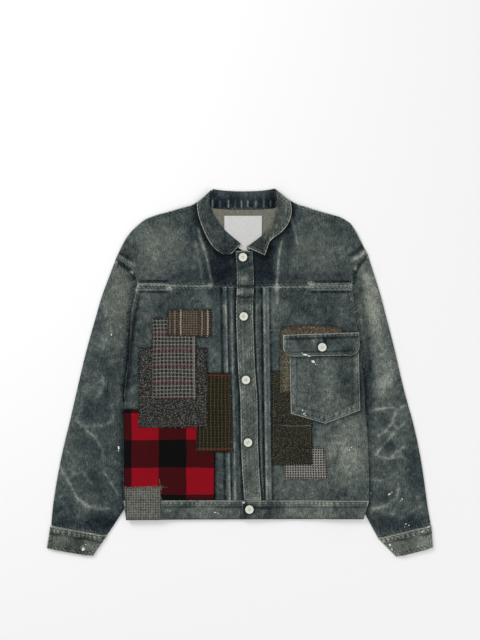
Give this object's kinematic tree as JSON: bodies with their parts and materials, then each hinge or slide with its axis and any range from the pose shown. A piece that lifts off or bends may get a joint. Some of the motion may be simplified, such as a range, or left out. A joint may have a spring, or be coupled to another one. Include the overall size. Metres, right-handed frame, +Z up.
{
  "type": "patched denim jacket laid flat",
  "caption": "Worn denim jacket mended with patches of tweed, check and plaid, buttoned up and laid flat on its back, with a collar, cuffs, a waistband and a flap pocket.",
  "frame": {"origin": "on the surface the jacket lies on, under the middle of its outline", "axes": "+X to the wearer's left, across the cuffs; +Y from the hem to the collar; +Z up, out of the front of the jacket"},
  "size_m": [0.792, 0.755, 0.0141],
  "materials": {
    "denim": "faded",
    "denim_inside": "undyed weft side",
    "red_plaid": "brushed flannel",
    "brown_check": "worn tweed",
    "grey_tweed": "salt-and-pepper tweed",
    "houndstooth": "tweed",
    "striped_tweed": "tweed",
    "linen_check": "linen",
    "open_check": "open weave",
    "charcoal_tweed": "herringbone tweed",
    "brown_tweed": "tweed",
    "cream_button": "glossy",
    "white_label": "matt woven"
  },
  "bodies": {
    "root": {"back_panel": "denim_inside", "button_1": "cream_button", "button_2": "cream_button", "button_3": "cream_button", "button_4": "cream_button", "button_5": "cream_button", "button_flap": "cream_button", "collar_back": "denim", "collar_left": "denim", "collar_right": "denim", "cuff_left": "denim", "cuff_right": "denim", "front_left": "denim", "front_right": "denim", "neck_label": "white_label", "patch_brown_check": "brown_check", "patch_brown_tweed": "brown_tweed", "patch_charcoal_tweed": "charcoal_tweed", "patch_grey_tweed": "grey_tweed", "patch_houndstooth": "houndstooth", "patch_linen_check": "linen_check", "patch_open_check": "open_check", "patch_red_plaid": "red_plaid", "patch_striped_tweed": "striped_tweed", "placket": "denim", "pocket": "denim", "pocket_flap": "denim", "sleeve_left": "denim", "sleeve_right": "denim", "waistband_back": "denim", "waistband_left": "denim", "waistband_right": "denim", "yoke_left": "denim", "yoke_right": "denim"}
  },
  "joints": []
}
